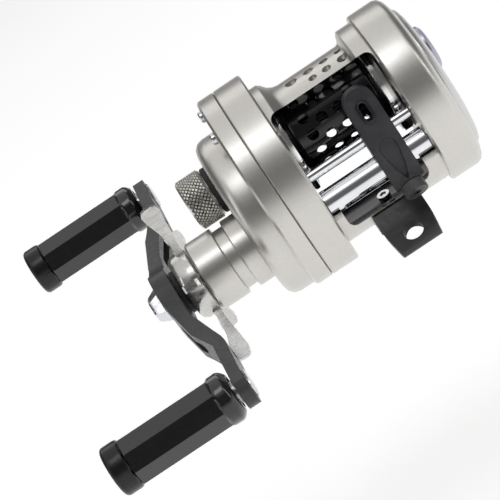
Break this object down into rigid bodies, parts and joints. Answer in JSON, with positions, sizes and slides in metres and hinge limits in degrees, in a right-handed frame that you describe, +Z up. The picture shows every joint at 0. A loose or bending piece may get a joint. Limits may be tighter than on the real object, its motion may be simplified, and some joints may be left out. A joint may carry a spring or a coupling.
{
  "type": "baitcasting fishing reel",
  "caption": "Compact round baitcasting reel with a ported spool, level wind, star drag and a cranked two-knob handle.",
  "frame": {"origin": "middle of the foot's flat seat face", "axes": "+X along the spool axis towards the palm side, away from the handle; +Y to the rear, towards the angler; +Z up, away from the rod"},
  "size_m": [0.1003, 0.0943, 0.047],
  "materials": {
    "frame_metal": "bead-blasted, fine matte grain",
    "cover_metal": "bead-blasted, fine matte grain",
    "palm_metal": "bead-blasted, fine matte grain",
    "dial_metal": "satin anodised",
    "star_metal": "polished",
    "spool_metal": "black anodised, glossy, with bright rims",
    "brake_metal": "polished",
    "arm_metal": "satin black",
    "guide_metal": "satin charcoal black",
    "foot_metal": "satin black",
    "thumb_bar_finish": "satin black",
    "knob_grip_finish": "glossy black on milled flats",
    "knob_cap_finish": "satin black",
    "tube_chrome": "polished",
    "shaft_steel": "ground",
    "screw_steel": "polished",
    "knurled_metal": "diamond knurled",
    "bearing_steel": "ground",
    "inner_steel": "stamped",
    "gear_brass": "machined",
    "wind_gear_polymer": "moulded",
    "carbon": "woven",
    "black_rubber": "matte"
  },
  "bodies": {
    "frame": {"frame": "frame_metal", "foot": "foot_metal", "foot_screw_1": "screw_steel", "foot_screw_2": "screw_steel", "handle_side_plate": "cover_metal", "side_plate_screw_1": "screw_steel", "side_plate_screw_2": "screw_steel", "side_plate_screw_3": "screw_steel", "set_plate": "inner_steel", "drive_shaft_bearing": "bearing_steel", "one_way_clutch": "bearing_steel", "boss_bearing": "bearing_steel", "palm_cover": "palm_metal", "brake_magnet_ring": "inner_steel", "worm_tube": "tube_chrome", "guide_rod": "tube_chrome", "worm_bushing_left": "wind_gear_polymer", "worm_bushing_right": "wind_gear_polymer", "yoke_post_1": "shaft_steel", "yoke_post_2": "shaft_steel", "knob_ring": "black_rubber", "spool_bearing_left": "bearing_steel", "spool_bearing_right": "bearing_steel"},
    "drive": {"drive_shaft": "shaft_steel", "drive_gear": "gear_brass", "carbon_washer_inner": "carbon", "carbon_washer_outer": "carbon", "drag_washer": "inner_steel", "pressure_plate": "inner_steel", "clutch_tube": "shaft_steel", "level_wind_drive_gear": "wind_gear_polymer", "spring_washer": "inner_steel", "arm_spacer": "black_rubber", "handle_arm": "arm_metal", "handle_nut": "screw_steel", "knob_spindle_1": "shaft_steel", "knob_spindle_2": "shaft_steel"},
    "star": {"star_drag": "star_metal", "star_nut": "gear_brass"},
    "knob_1": {"knob_grip_1": "knob_grip_finish", "knob_cap_1": "knob_cap_finish", "knob_bearing_1": "bearing_steel"},
    "knob_2": {"knob_grip_2": "knob_grip_finish", "knob_cap_2": "knob_cap_finish", "knob_bearing_2": "bearing_steel"},
    "spool": {"spool": "spool_metal", "spool_shaft": "shaft_steel", "spool_pin": "shaft_steel", "brake_rotor": "brake_metal"},
    "pinion": {"pinion": "gear_brass"},
    "yoke": {"clutch_yoke": "inner_steel"},
    "worm": {"worm_shaft": "shaft_steel", "worm_gear": "wind_gear_polymer"},
    "line_guide": {"line_guide": "guide_metal", "pawl": "gear_brass", "pawl_cap": "guide_metal"},
    "thumb_bar": {"thumb_bar": "thumb_bar_finish"},
    "tension_knob": {"tension_knob": "knurled_metal", "tension_washer": "gear_brass"},
    "brake_dial": {"brake_dial": "dial_metal"}
  },
  "joints": [
    {"name": "handle_crank", "type": "hinge", "parent": "frame", "child": "drive", "pos_m": [-0.03, -0.00424, 0.01351], "axis": [1, 0, 0], "continuous": true},
    {"name": "star_turn", "type": "hinge", "parent": "drive", "child": "star", "pos_m": [-0.044, -0.00424, 0.01351], "axis": [1, 0, 0], "range_deg": [-90, 180]},
    {"name": "knob_spin_1", "type": "hinge", "parent": "drive", "child": "knob_1", "pos_m": [-0.06, -0.04596, 0.0054], "axis": [1, 0, 0], "continuous": true},
    {"name": "knob_spin_2", "type": "hinge", "parent": "drive", "child": "knob_2", "pos_m": [-0.06, 0.03748, 0.02162], "axis": [1, 0, 0], "continuous": true},
    {"name": "spool_spin", "type": "hinge", "parent": "frame", "child": "spool", "pos_m": [0, 0.0035, 0.02576], "axis": [1, 0, 0], "continuous": true},
    {"name": "pinion_spin", "type": "hinge", "parent": "yoke", "child": "pinion", "pos_m": [-0.018, 0.0035, 0.02576], "axis": [1, 0, 0], "continuous": true},
    {"name": "worm_spin", "type": "hinge", "parent": "frame", "child": "worm", "pos_m": [0, -0.01309, 0.01514], "axis": [1, 0, 0], "continuous": true},
    {"name": "line_guide_slide", "type": "slide", "parent": "frame", "child": "line_guide", "axis": [1, 0, 0], "range_m": [-0.0112, 0.0008]},
    {"name": "thumb_bar_press", "type": "slide", "parent": "frame", "child": "thumb_bar", "axis": [0, 0.2607, -0.9654], "range_m": [0, 0.0032]},
    {"name": "yoke_shift", "type": "slide", "parent": "frame", "child": "yoke", "axis": [-1, 0, 0], "range_m": [0, 0.0015]},
    {"name": "tension_turn", "type": "hinge", "parent": "frame", "child": "tension_knob", "pos_m": [-0.033, 0.0035, 0.02576], "axis": [1, 0, 0], "range_deg": [-180, 180]},
    {"name": "brake_dial_turn", "type": "hinge", "parent": "frame", "child": "brake_dial", "pos_m": [0.024, 0.0035, 0.02576], "axis": [1, 0, 0], "range_deg": [0, 270]}
  ],
  "couplings": [
    {"joint": "spool_spin", "follows": "handle_crank", "ratio": -4.75},
    {"joint": "pinion_spin", "follows": "handle_crank", "ratio": -4.75},
    {"joint": "worm_spin", "follows": "handle_crank", "ratio": -0.8},
    {"joint": "yoke_shift", "follows": "thumb_bar_press", "ratio": 0.4686}
  ]
}
